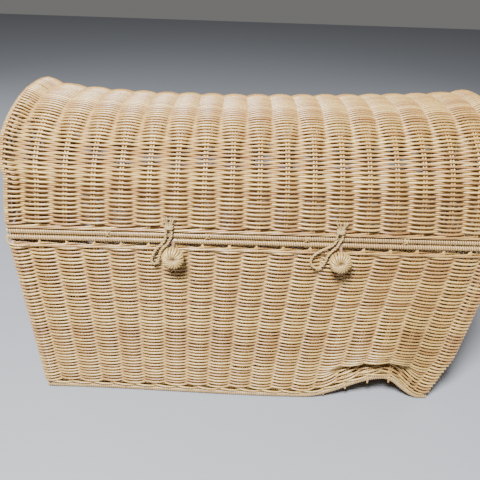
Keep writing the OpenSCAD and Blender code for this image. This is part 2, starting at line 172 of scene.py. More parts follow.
# %% Strand maker
def close_ends(mesh):
    """Puts a face over each open end of a strand."""
    bm = bmesh.new()
    bm.from_mesh(mesh)
    bmesh.ops.holes_fill(bm, edges=[edge for edge in bm.edges if edge.is_boundary])
    bm.to_mesh(mesh)
    bm.free()


def strands(name, lines, radius, body, material, tones=None, widths=None, resolution=1,
            stands_for=()):
    """Makes one mesh piece of round strands; a line is an array of points in metres."""
    if body == "body":
        lines = [worn(line) for line in lines]
    curve = bpy.data.curves.new(name, "CURVE")
    curve.dimensions = "3D"
    curve.twist_mode = "MINIMUM"
    curve.bevel_depth = radius
    curve.bevel_resolution = resolution
    for i, line in enumerate(lines):
        spline = curve.splines.new("POLY")
        spline.points.add(len(line) - 1)
        spline.points.foreach_set("co", np.column_stack([line, np.ones(len(line))]).ravel())
        if widths is not None:
            spline.points.foreach_set("radius", np.broadcast_to(widths[i], len(line)))
    holder = bpy.data.objects.new(name + "_line", curve)
    mesh = bpy.data.meshes.new_from_object(holder)
    bpy.data.objects.remove(holder)
    bpy.data.curves.remove(curve)
    rings = sum(len(line) for line in lines)
    sides = len(mesh.vertices) // rings
    if tones is None:
        tones = [chance.random() for line in lines]
    tone = np.concatenate([np.broadcast_to(t, len(line)) for t, line in zip(tones, lines)])
    run = np.concatenate([start + np.insert(np.cumsum(np.linalg.norm(np.diff(line, axis=0), axis=1)), 0, 0)
                          for start, line in zip(chance.uniform(0, 50, len(lines)), lines)])
    for key, values in (("tone", tone), ("run", run)):
        layer = mesh.attributes.new(key, "FLOAT", "POINT")
        layer.data.foreach_set("value", np.repeat(values, sides).astype(np.float32))
    close_ends(mesh)
    mesh.shade_smooth()
    mesh.name = name
    return place(bpy.data.objects.new(name, mesh), body, material, stands_for)


def place(piece, body, material, stands_for=()):
    """Puts a finished piece in the scene, on its body, with its finish."""
    if piece.name not in bpy.context.scene.collection.objects:
        bpy.context.scene.collection.objects.link(piece)
    piece.data.materials.clear()
    piece.data.materials.append(material)
    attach(piece, body)
    if stands_for:
        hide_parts(*stands_for)
    print(f"{piece.name}: {sum(len(f.vertices) - 2 for f in piece.data.polygons)} triangles")
    return piece


# %% [markdown]
# ## Cane
# Peeled cane is pale and a little glossy, and its colour wanders from cream through straw to a
# pinkish tan, from strand to strand and slowly along each one. The tone picks a place on a ramp of
# those colours, noise stretched along the strand adds fine streaks, and a bump gives the fibres.

# %% Cane materials
def link(tree, source, target):
    tree.links.new(source, target)


def cane(name, colours, roughness=0.36, streaks=0.35, spread=1.0):
    """A cane finish whose colour follows the strand's tone; colours run from dark to light."""
    material = bpy.data.materials.new(name)
    material.use_nodes = True
    tree = material.node_tree
    shader = tree.nodes["Principled BSDF"]
    shader.inputs["Roughness"].default_value = roughness
    shader.inputs["Specular IOR Level"].default_value = 0.75
    tone = tree.nodes.new("ShaderNodeAttribute")
    tone.attribute_name = "tone"
    run = tree.nodes.new("ShaderNodeAttribute")
    run.attribute_name = "run"
    where = tree.nodes.new("ShaderNodeTexCoord")

    along = tree.nodes.new("ShaderNodeCombineXYZ")
    link(tree, run.outputs["Fac"], along.inputs["X"])
    link(tree, tone.outputs["Fac"], along.inputs["Y"])
    slow = tree.nodes.new("ShaderNodeTexNoise")
    slow.inputs["Scale"].default_value = 9
    slow.inputs["Detail"].default_value = 3
    link(tree, along.outputs["Vector"], slow.inputs["Vector"])

    fibres = tree.nodes.new("ShaderNodeTexNoise")
    fibres.inputs["Scale"].default_value = 420
    fibres.inputs["Detail"].default_value = 4
    link(tree, where.outputs["Object"], fibres.inputs["Vector"])

    patches = tree.nodes.new("ShaderNodeTexNoise")
    patches.inputs["Scale"].default_value = 5
    patches.inputs["Detail"].default_value = 2
    link(tree, where.outputs["Object"], patches.inputs["Vector"])

    pick = tree.nodes.new("ShaderNodeMath")
    pick.operation = "MULTIPLY_ADD"
    pick.inputs[1].default_value = 0.55 * spread
    link(tree, tone.outputs["Fac"], pick.inputs[0])
    push = tree.nodes.new("ShaderNodeMath")
    push.operation = "MULTIPLY_ADD"
    push.inputs[1].default_value = 0.5
    link(tree, slow.outputs["Fac"], push.inputs[0])
    shift = tree.nodes.new("ShaderNodeMath")
    shift.operation = "MULTIPLY_ADD"
    shift.inputs[1].default_value = 0.3
    shift.inputs[2].default_value = -0.16
    link(tree, patches.outputs["Fac"], shift.inputs[0])
    link(tree, shift.outputs["Value"], push.inputs[2])
    link(tree, push.outputs["Value"], pick.inputs[2])

    ramp = tree.nodes.new("ShaderNodeValToRGB")
    elements = ramp.color_ramp.elements
    while len(elements) < len(colours):
        elements.new(0.5)
    for i, colour in enumerate(colours):
        elements[i].position = i / (len(colours) - 1)
        elements[i].color = (*colour, 1)
    link(tree, pick.outputs["Value"], ramp.inputs["Fac"])

    dark = tree.nodes.new("ShaderNodeMapRange")
    dark.inputs["From Min"].default_value = 0.3
    dark.inputs["From Max"].default_value = 0.7
    dark.inputs["To Min"].default_value = 1 - streaks
    dark.inputs["To Max"].default_value = 1.08
    link(tree, fibres.outputs["Fac"], dark.inputs["Value"])
    shade = tree.nodes.new("ShaderNodeVectorMath")
    shade.operation = "SCALE"
    link(tree, ramp.outputs["Color"], shade.inputs[0])
    link(tree, dark.outputs["Result"], shade.inputs["Scale"])
    link(tree, shade.outputs["Vector"], shader.inputs["Base Color"])

    bump = tree.nodes.new("ShaderNodeBump")
    bump.inputs["Strength"].default_value = 0.25
    bump.inputs["Distance"].default_value = 0.0004
    link(tree, fibres.outputs["Fac"], bump.inputs["Height"])
    link(tree, bump.outputs["Normal"], shader.inputs["Normal"])
    return material


STRAW = [(0.22, 0.10, 0.035), (0.33, 0.17, 0.055), (0.44, 0.26, 0.08), (0.53, 0.34, 0.11),
         (0.64, 0.46, 0.17)]
weave_cane = cane("weaver cane", STRAW)
stake_cane = cane("stake cane", STRAW[1:], roughness=0.32)
wale_cane = cane("wale cane", STRAW)
fine_cane = cane("fine winding cane", [(0.28, 0.15, 0.05), (0.41, 0.25, 0.08), (0.52, 0.35, 0.12),
                                       (0.62, 0.46, 0.18)])
# The rods' dark brown is partly painted shade: it shows in the grooves between the winding's turns and the
# strands round the rods, and stands for the shade there.
groove_shade_rod_cane = cane("thick rod cane dark as groove shade", [(0.14, 0.07, 0.04), (0.22, 0.12, 0.07), (0.30, 0.18, 0.10)])
strap_cane = cane("strap cane", [(0.22, 0.12, 0.07), (0.32, 0.19, 0.10), (0.40, 0.26, 0.15)])
cord_fibre = cane("closing cord fibre", [(0.34, 0.20, 0.07), (0.47, 0.31, 0.12), (0.57, 0.42, 0.19)],
                  roughness=0.75, streaks=0.5)
print("finishes:", [m.name for m in bpy.data.materials])

# %% [markdown]
# ## The leaning walls and the buckle
# Each wall leans out from the base rail to the rim. A place on a wall is a distance along it, a
# distance up its slope and a distance out from its middle plane. Near the right end of the front
# the base rail has been pushed up, and the weave above it has folded: the foot runs in, a crease
# follows, and the wall bulges over it. Bending the place, and not the finished strands, keeps
# every strand round.

# %% Walls
SIDES = range(4)


def spans(side):
    return side % 2


def foot_out(side):
    return FOOT[1 - spans(side)] + (0, 1, 0, -1)[side] * RACK


def slope(side):
    return math.hypot(TALL, RIM[1 - spans(side)] - foot_out(side))


def axes(side):
    """The directions along the wall, up its slope and out of it."""
    turn = side * math.pi / 2
    rise_in = RIM[1 - spans(side)] - foot_out(side)
    along = np.array([math.cos(turn), math.sin(turn), 0])
    outward = np.array([math.sin(turn), -math.cos(turn), 0])
    upward = (outward * rise_in + np.array([0, 0, TALL])) / slope(side)
    out = (outward * TALL - np.array([0, 0, rise_in])) / slope(side)
    return along, upward, out


POST = 5 * MM


def across(side, share, high):
    """Distance along a wall, for a share from -1 to 1 of its width at a height from 0 to 1."""
    half = FOOT[spans(side)] * (1 - high) + RIM[spans(side)] * high
    return (1, 0, -1, 0)[side] * RACK * (1 - high) + half * share


BUCKLE = dict(lift=50 * MM, start=0.34, peak=0.75, end=8 * MM)


def lift(x):
    u = x - RACK
    start, peak, end = BUCKLE["start"] * FOOT[0], BUCKLE["peak"] * FOOT[0], FOOT[0] - BUCKLE["end"]
    return BUCKLE["lift"] * np.where(u < peak, ease((u - start) / (peak - start)),
                                     ease((end - u) / (end - peak)))


def buckled(x, v):
    """Where the front's weave goes at a distance v up the slope: the new v, and how far out."""
    up = lift(x)
    share = up / BUCKLE["lift"]
    taken = np.interp(v, np.array([0, 46, 74, 290]) * MM, [0, 0.1, 0.5, 1])
    out = eased(v, np.array([0, 18, 46, 74, 104, 205]) * MM, np.array([3, -3, -25, 11, 15, 0]) * MM)
    return v + up * (1 - taken), out * share ** 1.3


def wall_point(side, x, v, out):
    """Points of a wall in the row frame; x, v and out are arrays or numbers."""
    along, upward, outward = axes(side)
    x, v, out = np.broadcast_arrays(x, v, out)
    if side == 0:
        v, push = buckled(x, v)
        out = out + push
    foot = np.array([0, 0, Z_BASE]) + np.cross(along, [0, 0, 1]) * foot_out(side)
    return foot + x[:, None] * along + v[:, None] * upward + out[:, None] * outward


print("slopes", [round(slope(side), 4) for side in SIDES])

# %% [markdown]
# ## Once round the trunk
# A weaver runs level round all four sides. The crossings are numbered: a corner post, then the
# pairs of the wall. A distance round the trunk is counted in crossings, so a whole number is always
# behind or before a pair. At a corner the outward direction turns from one wall's to the next.

# %% Round the trunk
CORNER_TURN = 9 * MM
POST_WRAP = 6.6 * MM
STARTS = np.cumsum([0] + [PAIRS[spans(side)] + 1 for side in SIDES])
BAY = [0, 0.1, 0.25, 0.4, 0.55, 0.7, 0.88]
CORNER_BAY = [0, 0.06, 0.13, 0.22, 0.36, 0.5, 0.64, 0.78, 0.9]


def stops(side):
    """Crossing counts along one wall, from a little before one post to a little past the next."""
    n = PAIRS[spans(side)] + 1
    counts = [-0.12, -0.05]
    for bay in range(n):
        if bay == 0:
            counts += [bay + f for f in CORNER_BAY]
        elif bay == n - 1:
            counts += [bay + 1 - f for f in CORNER_BAY[:0:-1]]
        else:
            counts += [bay + f for f in BAY]
    return np.array(counts + [n, n + 0.05, n + 0.12])


def round_trunk(side, counts, high, out, rise=0):
    """Points beside one wall at counts of crossings; high is 0 at the base rail and 1 at the rim."""
    n = PAIRS[spans(side)] + 1
    inside = np.clip(counts, 0, n)
    x = across(side, 2 * inside / n - 1, high)
    step = (across(side, 1, high) - across(side, -1, high)) / n
    along, upward, outward = axes(side)
    to_next = ease(1 - np.maximum(n - counts, 0) * step / CORNER_TURN)
    to_last = ease(1 - np.maximum(counts, 0) * step / CORNER_TURN)
    past = np.maximum(counts - n, 0) * step
    before = np.maximum(-counts, 0) * step
    angle = math.pi / 4 * (to_next - to_last)
    facing = np.cos(angle)[:, None] * outward + np.sin(angle)[:, None] * along
    points = wall_point(side, x, np.full(len(x), high * slope(side)), np.zeros(len(x)))
    behind = -(past + before)[:, None] * outward
    lifted = np.broadcast_to(rise, len(x))[:, None] * upward
    return points + np.broadcast_to(out, len(x))[:, None] * facing + behind + lifted


def sway(side, counts, row, reach, post_reach):
    """In and out of the stakes: plain weave, the other way about in the next row."""
    n = PAIRS[spans(side)] + 1
    total = counts + STARTS[side]
    low = np.floor(total)
    f = total - low
    turn = 0.5 - 0.5 * np.cos(math.pi * np.clip((f - 0.08) / 0.84, 0, 1))

    def level(crossing):
        at_post = np.isin(crossing, STARTS)
        return np.where((crossing + row) % 2 == 0, 1, -1) * np.where(at_post, post_reach, reach)

    return level(low) * (1 - turn) + level(low + 1) * turn


print("crossings:", STARTS[-1])

# %% [markdown]
# ## The woven walls
# Plain weave with one weaver: each row passes in front of one pair and behind the next, and the
# row above does the opposite. Every row is a line round the trunk, cut at the corner posts so that
# each wall is a piece of its own; the cut ends overlap inside each other.

# %% Wall weave
WEAVER = 2.0 * MM
BACK_WEAVER = 2.5 * MM
PITCH = 3.84 * MM
REACH = STAKE + WEAVER
BAND = 9 * MM
wall_low = RAIL + BAND + 0.2 * MM
wall_high = slope(0) - RAIL - 3 * MM - BAND
ROWS = int((wall_high - wall_low) / PITCH)
NAMES = ["front", "right", "back", "left"]


def patch_tones(count, total, low=0.0, high=1.0):
    """One tone for each crossing, which changes where one weaver ends and the next begins."""
    source = np.random.default_rng(count)
    tones, tone = [], source.uniform(low, high)
    for i in range(total):
        if source.random() < 0.035:
            tone = source.uniform(low, high)
        tones.append(tone)
    return np.array(tones)


def parted(up, counts, places):
    """Pushes rows apart at a few places: each is a height, a crossing count, a width and a size."""
    push = 0
    for height, count, wide, size in places:
        near = np.exp(-abs(up - height) / (11 * MM)) * np.exp(-((counts - count) / wide) ** 4)
        push = push + np.where(up > height, 1, -1) * size * MM * near
    return push


PARTED = [(72 * MM, 9.2, 1.0, 1.1), (230 * MM, 2.4, 0.6, 0.8), (28 * MM, 12.2, 0.7, 0.9)]


def wall_rows(side):
    counts = stops(side)
    lines, tones, widths = [], [], []
    for row in range(ROWS):
        v = wall_low + (row + 0.5) * (wall_high - wall_low) / ROWS
        whole = counts + STARTS[side]
        wave = 0.5 * MM * drift(whole, 1.3, 100 + row) + 0.4 * MM * drift(whole, 6, 200 + row)
        if side == 0:
            wave = wave + parted(v, counts, PARTED)
        out = sway(side, counts, row, REACH, POST_WRAP)
        lines.append(round_trunk(side, counts, v / slope(0), out, wave))
        tones.append(patch_tones(row, 60)[np.floor(whole).astype(int)])
        thickness = np.random.default_rng(row).uniform(-0.10, 0.04)
        widths.append(1 + 0.06 * drift(whole, 9, 300 + row) + thickness)
    return lines, tones, widths


for side in SIDES:
    lines, tones, widths = wall_rows(side)
    radius = BACK_WEAVER if NAMES[side] == "back" else WEAVER
    strands(f"{NAMES[side]}_wall_weave", lines, radius, "body", weave_cane, tones, widths,
            stands_for=[f"{NAMES[side]}_wall"])

# %% [markdown]
# ## The stakes of the walls
# Stakes stand in pairs and run from the base rail to the rim, where their tips lean into the
# binding. They follow the same bent wall as the weavers.

# %% Wall stakes
TIP_FROM = 0.955
TIP_TURN = 0.03
TIP_SLANT = {-1: 1.2 * MM, 1: -3.5 * MM}
TIP_OUT = 0.4 * MM


def wall_stakes(side):
    n = PAIRS[spans(side)] + 1
    lines = []
    for k in range(1, n):
        for edge in (-1, 1):
            v = np.linspace(RAIL + 0.5 * MM, slope(side) - RAIL + 0.5 * MM, 44)
            high = v / slope(side)
            tip = ease((high - TIP_FROM) / TIP_TURN)
            wobble = 0.3 * MM * drift(v, 60 * MM, 17 * k + edge + 40 * side)
            x = across(side, 2 * k / n - 1, high) + edge * APART + TIP_SLANT[edge] * tip + wobble
            lines.append(wall_point(side, x, v, TIP_OUT * edge * tip))
    return lines


for side in SIDES:
    strands(f"{NAMES[side]}_wall_stakes", wall_stakes(side), STAKE, "body", stake_cane,
            stands_for=[f"{NAMES[side]}_stakes"])

# %% [markdown]
# ## Ends under the buckle
# Where the base rail is lifted, the cut ends of a few stakes poke out under it. They are short
# pieces of the same stakes, so they are placed on the wall just as the stakes are.

# %% Ends under the buckle
STUB = 4.5 * MM
STUB_PAIRS = (13, 14, 15, 16)


def stub_lines():
    n = PAIRS[0] + 1
    v = np.linspace(-RAIL - STUB, RAIL, 6)
    return [wall_point(0, across(0, 2 * k / n - 1, 0) + APART, v, 0.0) for k in STUB_PAIRS]


strands("buckle_stake_ends", stub_lines(), STAKE, "body", stake_cane, resolution=2)

# %% [markdown]
# ## Corner posts
# A thicker rod stands in each corner, and the rows turn round it. It is made as a strand and not
# kept from the frame, so that it bends with the worn walls.

# %% Corner posts
POST_ENDS = (0.022, 0.978)


def post_line(sx, sy):
    foot = np.array([sx * FOOT[0] + RACK, sy * FOOT[1], Z_BASE])
    head = np.array([sx * RIM[0], sy * RIM[1], Z_RIM])
    return foot + np.linspace(*POST_ENDS, 24)[:, None] * (head - foot)


for back, sy in (("front", -1), ("back", 1)):
    for hand, sx in (("left", -1), ("right", 1)):
        # The post's dark rod cane shows between the rows wrapped round it as painted shade.
        strands(f"{back}_{hand}_corner_post", [post_line(sx, sy)], POST, "body", groove_shade_rod_cane,
                resolution=2, stands_for=[f"{back}_{hand}_post"])

# %% [markdown]
# ## Wales
# A wale is a twisted band that locks the stakes. Three weavers work together: each passes before
# two stakes, slants up, and goes behind one. The lower band has two weavers that cross at every
# stake.

# %% Wales
WALE = 1.9 * MM
WALE_CORNER = 2 * MM


def wale_turn(phase, front):
    """Out and up of a wale's strand, each from -1 to 1: before the stakes, then behind one."""
    before = np.clip(phase / front, 0, 1)
    behind = np.clip((phase - front) / (1 - front), 0, 1)
    out = np.where(phase < front, np.sin(math.pi * before) ** 0.5, -np.sin(math.pi * behind))
    return out, np.where(phase < front, 2 * before - 1, 1 - 2 * ease(behind))


def wale_lines(weavers, high, tall, leaning=1, points=9):
    """Lines of a wale round the body at one height; each weaver is a share of a period behind."""
    lines = []
    for side in SIDES:
        n = PAIRS[spans(side)] + 1
        whole = np.linspace(0, n, n * points + 1)
        counts = np.concatenate([[-0.12, -0.05], whole, [n + 0.05, n + 0.12]])
        post = np.exp(-np.minimum(np.abs(counts), np.abs(n - counts)) * 5)
        for weaver in range(weavers):
            phase = ((counts + STARTS[side] - weaver) / weavers) % 1
            out, up = wale_turn(phase, (weavers - 1) / weavers)
            rise = leaning * tall * up
            lines.append(round_trunk(side, counts, high, REACH * out + WALE_CORNER * post, rise))
    return lines


UNDER_RIM = 4.6 * MM
high = (slope(0) - RAIL - UNDER_RIM - BAND / 2) / slope(0)
strands("upper_wale_strands", wale_lines(3, high, 2.3 * MM), WALE, "body", wale_cane,
        stands_for=["upper_wale"])
high = (RAIL + BAND / 2) / slope(0)
strands("lower_wale_strands", wale_lines(2, high, 2.0 * MM, leaning=-1, points=8), WALE, "body",
        wale_cane, stands_for=["lower_wale"])

# %% [markdown]
# ## A strand end at the corner
# At the rim's left corner one weaver's end comes round the end of the rail and runs down into the
# wale. Such a single bent strand is drawn through a few given points.

# %% Strand end at the rim's left corner
def corner_end():
    steps = [(-4, 1, 4), (-7, -2, 0), (-7, -5, -6), (-3, -6.5, -11), (6, -6.5, -13.5), (17, -6, -14),
             (30, -4, -13)]
    corner = np.array([-RIM[0], -RIM[1], Z_RIM])
    return [corner + np.array(steps) * MM]


strands("rim_corner_end", corner_end(), WALE, "body", wale_cane, resolution=2)

# %% [markdown]
# ## Wound rails
# Rim, lid and base each end in a rod bound edge to edge with fine cane. Winding is a helix: a
# point runs round the rod while it moves along it by one width of cane a turn.

# %% Winding
WIND = 1.68 * MM
TURN = 4.0 * MM


def wound(line, normal, radius, turn=TURN, per_turn=8, start=0.0):
    """A helix round a line that lies in a plane with the given normal."""
    line, normal = np.array(line, float), np.array(normal, float)
    gaps = np.linalg.norm(np.diff(line, axis=0), axis=1)
    run = np.insert(np.cumsum(gaps), 0, 0)
    at = np.arange(0, run[-1], turn / per_turn)
    centre = np.column_stack([np.interp(at, run, line[:, i]) for i in range(3)])
    heading = np.gradient(centre, axis=0)
    heading /= np.linalg.norm(heading, axis=1)[:, None]
    side = np.cross(heading, normal)
    phase = 2 * math.pi * at / turn + start
    phase = phase + 0.25 * drift(at, 0.012, int(abs(line[0][0]) * 1e4) + 5)
    return centre + radius * (np.cos(phase)[:, None] * normal + np.sin(phase)[:, None] * side)


def winding_tones(n):
    """Tones of n points of a winding, which change slowly and, less, from turn to turn."""
    turns = np.arange(n) / 8
    return np.clip(0.5 + 0.45 * drift(turns, 7, n) + 0.25 * drift(turns, 1.1, n + 1), 0, 1)


def bound(name, runs, body, stands_for):
    lines = [wound(line, normal, RAIL - WIND) for line, normal in runs]
    tones = [winding_tones(len(line)) for line in lines]
    return strands(name, lines, WIND, body, fine_cane, tones, stands_for=stands_for)


def gaps(low, high, places, before, after):
    """The stretches left between low and high when a gap is cut at each place."""
    edges = [low] + [e for p in sorted(places) for e in (p - before, p + after)] + [high]
    return list(zip(edges[::2], edges[1::2]))


STEMS = [middle("left_button_stem").x, middle("right_button_stem").x]
HINGES = [middle(f"{which}_hinge_loop").x for which in ("left", "middle", "right")]


BARE_BY_STEM = (10.5 * MM, 4.5 * MM)
BARE_BY_HINGE = (7.6 * MM, 7.6 * MM)
UPRIGHT = (0, 0, 1)


def ring_runs(z, front_gaps, back_gaps):
    """The stretches of a ring of rails that are wound: front, back, left and right."""
    end, far = RIM[0] + RAIL, RIM[1] - RAIL
    runs = []
    for y, places, bare in ((-RIM[1], front_gaps, BARE_BY_STEM), (RIM[1], back_gaps, BARE_BY_HINGE)):
        runs += [(((a, y, z), (b, y, z)), UPRIGHT) for a, b in gaps(-end, end, places, *bare)]
    runs += [(((e * RIM[0], -far, z), (e * RIM[0], far, z)), UPRIGHT) for e in (-1, 1)]
    return runs


bound("rim_winding", ring_runs(Z_RIM, STEMS, HINGES), "body", ["rim_binding"])
bound("lid_winding", ring_runs(Z_LID, [], HINGES), "lid", ["lid_binding"])

end, far = FOOT[0] + RAIL, FOOT[1] - RAIL
base_runs = [(((RACK - end, FOOT[1], Z_BASE), (RACK + end, FOOT[1], Z_BASE)), UPRIGHT)]
for x in (RACK - FOOT[0], RACK + FOOT[0]):
    base_runs.append((((x, -far, Z_BASE), (x, far, Z_BASE)), UPRIGHT))
bound("base_winding", base_runs, "body", ["base_binding"])

x = np.linspace(RACK - end, RACK + end, 240)
push = 3 * MM * lift(x) / BUCKLE["lift"]
buckled_line = np.column_stack([x, -FOOT[1] - push, Z_BASE + lift(x)])
front_winding = wound(buckled_line, (0, 1, 0), RAIL - WIND)
enough = int(2 * end / TURN * 8) + 400
strands("base_front_winding", [front_winding], WIND, "body", fine_cane,
        [winding_tones(enough)[:len(front_winding)]], stands_for=["base_front_rail"])
# The rod's dark cane shows between the winding's turns as painted shade.
strands("base_front_rod", [buckled_line], ROD, "body", groove_shade_rod_cane, resolution=2)

# %% [markdown]
# ## The woven bottom
# Finer weavers pass over and under the bottom stakes. Only their lower side and the inside of an
# open trunk show, so the strands are lighter than the walls'.

# %% Bottom
BOTTOM_WEAVER = 1.5 * MM
BOTTOM_MIDDLE = 3.5 * MM


def bottom_point(x, y, z):
    """The bottom is woven to the front rail, so it rises with the buckle."""
    x, y, z = np.broadcast_arrays(x, y, z)
    share = np.clip((-y / FOOT[1] - 0.25) / 0.75, 0, 1) ** 1.5
    return np.column_stack([x, y, z + lift(x) * share])


def bottom_rows():
    n = PAIRS[0] + 1
    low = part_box("bottom_panel")[0]
    counts = np.concatenate([[k, k + 0.25, k + 0.5, k + 0.75] for k in range(n)] + [[n]])
    x = RACK + FOOT[0] * (2 * counts / n - 1) * 0.985
    lines = []
    rows = int(-2 * low.y / (2 * BOTTOM_WEAVER))
    for row in range(rows):
        y = low.y + (row + 0.5) * -2 * low.y / rows
        z = BOTTOM_MIDDLE + STAKE * np.cos(math.pi * (counts + row))
        lines.append(bottom_point(x, y, z))
    return lines


def bottom_stake_lines():
    n = PAIRS[0] + 1
    reach = FOOT[1] - RAIL - 0.1 * MM
    y = np.linspace(-reach, reach, 24)
    return [bottom_point(RACK + FOOT[0] * (2 * k / n - 1) + edge * APART, y, BOTTOM_MIDDLE)
            for k in range(1, n) for edge in (-1, 1)]


strands("bottom_weave", bottom_rows(), BOTTOM_WEAVER, "body", weave_cane,
        stands_for=["bottom_panel"])
strands("bottom_frame_stakes", bottom_stake_lines(), STAKE, "body", stake_cane,
        stands_for=["bottom_stakes"])

# %% [markdown]
# ## The lid's arch
# Seen from its end the lid is a fuller arch than a half circle, close to a superellipse. Its ends
# lean in, and between the stiff end hoops the crown has sagged with age. A place on the lid is a
# distance along X, a distance over the arch and a distance out.

# %% Arch
steps = np.linspace(0, math.pi, 2001)
arch_y = -RIM[1] * np.sign(np.cos(steps)) * np.abs(np.cos(steps)) ** (2 / ARCH_POWER)
arch_h = RISE * np.sin(steps).clip(0) ** (2 / ARCH_POWER)
arch_run = np.insert(np.cumsum(np.hypot(np.diff(arch_y), np.diff(arch_h))), 0, 0)
ARCH_LONG = arch_run[-1]
SAG = 21 * MM
SAG_AT = [-1, -0.93, -0.85, -0.7, -0.5, -0.1, 0.2, 0.5, 0.8, 1]
SAG_SHARE = [0, 0.38, 0.62, 0.85, 1, 1, 0.84, 0.64, 0.33, 0]


def arch_at(run):
    """Y, height over the lid's rail, and the outward direction, at a distance over the arch."""
    y, h = np.interp(run, arch_run, arch_y), np.interp(run, arch_run, arch_h)
    step = 2 * MM
    dy = np.interp(run + step, arch_run, arch_y) - np.interp(run - step, arch_run, arch_y)
    dh = np.interp(run + step, arch_run, arch_h) - np.interp(run - step, arch_run, arch_h)
    size = np.hypot(dy, dh)
    return y, h, -dh / size, dy / size


def swell(end, h):
    """How far the shoulder of an end stands out; the left one has been pressed out of shape."""
    levels = np.array([0, 0, 11, 14, 9]) * MM * (1 if end < 0 else 0.4)
    return eased(h, [0, 0.085, 0.118, 0.15, RISE], levels)


def lid_point(share, run, out, aside=0.0):
    """Points of the lid; share is -1 at the left hoop and 1 at the right one."""
    share, run, out, aside = np.broadcast_arrays(share, run, out, aside)
    y, h, ny, nh = arch_at(run)
    x = share * (RIM[0] - LEAN * h) + aside
    x = x + (share.clip(0) ** 6 * swell(1, h) - (-share).clip(0) ** 6 * swell(-1, h))
    drop = SAG * np.interp(share, SAG_AT, SAG_SHARE) * (h / RISE) ** 1.6
    return np.column_stack([x, y + ny * out, Z_LID + h + nh * out - drop])


print(f"arch {ARCH_LONG:.3f} m over")

# %% [markdown]
# ## The lid's weave
# The rows run the lid's whole length and turn round the hoop at each end: a row that comes over the
# hoop goes down behind it, and its neighbour comes up from under. They alternate, so the hoop is
# covered from end to end.

# %% Lid weave
LID_PITCH = 3.86 * MM
HOOP_WRAP = RAIL + 1.3 * MM
lid_start = RAIL + BAND + 0.3 * MM
LID_ROWS = int((ARCH_LONG - 2 * lid_start) / LID_PITCH)


def hoop_turn(end, over):
    """Offsets along X and out, for a row that turns round a hoop; end is -1 or 1."""
    angles = np.radians([90, 52, 14, -24, -62, -100]) * (1 if over else -1)
    return end * HOOP_WRAP * np.cos(angles), HOOP_WRAP * np.sin(angles)


FIRST_BAY = [0.2, 0.33, 0.5, 0.64, 0.78, 0.9]
LAST_BAY = [0, 0.1, 0.22, 0.36, 0.5, 0.67, 0.8]
LID_PARTED = [(313 * MM, 0.4, 0.4, 1.6), (330 * MM, 1.35, 0.4, 1.4), (336 * MM, 2.1, 0.5, 1.5),
              (195 * MM, 0.4, 0.35, 1.5), (163 * MM, 4.3, 3.8, 0.7)]


def lid_rows():
    n = PAIRS[0] + 1
    bays = [[k + f for f in BAY] for k in range(1, n - 1)]
    counts = np.concatenate([FIRST_BAY] + bays + [[n - 1 + f for f in LAST_BAY]])
    lines, tones, widths = [], [], []
    for row in range(LID_ROWS):
        run = lid_start + (row + 0.5) * (ARCH_LONG - 2 * lid_start) / LID_ROWS
        low = np.floor(counts)
        f = counts - low
        turn = 0.5 - 0.5 * np.cos(math.pi * np.clip((f - 0.08) / 0.84, 0, 1))
        sign = np.where((low + row) % 2 == 0, 1, -1)
        reach = np.where(low == 0, REACH * turn + HOOP_WRAP * (1 - turn), REACH)
        reach = np.where(low == n - 1, REACH * (1 - turn) + HOOP_WRAP * turn, reach)
        out = sign * (1 - 2 * turn) * reach
        wave = 0.45 * MM * drift(counts, 1.2, 700 + row) + 0.45 * MM * drift(counts, 5, 800 + row)
        wave = wave + parted(run, counts, LID_PARTED)
        middle_part = lid_point(2 * counts / n - 1, run + wave, out)
        parts = []
        for end in (-1, 1):
            over = (row + (0 if end < 0 else n)) % 2 == 0
            aside, rise = hoop_turn(end, over)
            parts.append(lid_point(float(end), np.full(len(aside), run), rise, aside))
        lines.append(np.vstack([parts[0][::-1], middle_part, parts[1]]))
        size = len(lines[-1])
        whole = np.clip(np.arange(size) // 7, 0, 59)
        tones.append(patch_tones(900 + row, 60)[whole])
        widths.append(1 + 0.06 * drift(np.arange(size) / 7, 9, 60 + row)
                      + np.random.default_rng(row + 50).uniform(-0.09, 0.04))
    return lines, tones, widths


lines, tones, widths = lid_rows()
thirds = np.array_split(np.arange(len(lines)), 3)
for name, part in zip(("front", "crown", "back"), thirds):
    radius = BACK_WEAVER if name == "back" else WEAVER
    strands(f"lid_{name}_weave", [lines[i] for i in part], radius, "lid", weave_cane,
            [tones[i] for i in part], [widths[i] for i in part], stands_for=["lid_dome"])

# %% [markdown]
# ## The lid's stakes and hoops
# The pairs of stakes bend over the arch from rail to rail inside the rows. A bare rod at each end
# gives the lid its outline, and the rows turn round it.

# %% Lid stakes and hoops
def lid_stake_lines():
    n = PAIRS[0] + 1
    run = np.linspace(RAIL + 0.5 * MM, ARCH_LONG - RAIL - 0.5 * MM, 90)
    return [lid_point(2 * k / n - 1, run, 0.0, edge * APART + 0.3 * MM * drift(run, 0.06, 31 * k + edge))
            for k in range(1, n) for edge in (-1, 1)]


strands("lid_dome_stakes", lid_stake_lines(), STAKE, "lid", stake_cane,
        stands_for=["lid_stakes"])
run = np.linspace(RAIL + 0.6 * MM, ARCH_LONG - RAIL - 0.6 * MM, 80)
for name, end in (("left", -1.0), ("right", 1.0)):
    # The hoop's dark rod cane shows between the rows turned round it as painted shade.
    strands(f"lid_{name}_hoop_rod", [lid_point(end, run, 0.0)], ROD, "lid", groove_shade_rod_cane, resolution=2,
            stands_for=[f"lid_{name}_hoop"])

# %% [markdown]
# ## The lid's ends
# Each end is a plain woven half-round panel inside its hoop. A row is as long as the arch is wide
# at its height, and only passes the stakes that reach that high.

# %% Lid ends
def half_depth(h, inset):
    return (RIM[1] - inset) * (1 - np.clip(h / (RISE - inset), 0, 1) ** ARCH_POWER) ** (1 / ARCH_POWER)


def end_point(end, y, h, out):
    """Points of a leaning end panel; out points away from the lid."""
    y, h, out = np.broadcast_arrays(y, h, out)
    return np.column_stack([end * (RIM[0] - LEAN * h + swell(end, h) + out), y, Z_LID + h + LEAN * out])


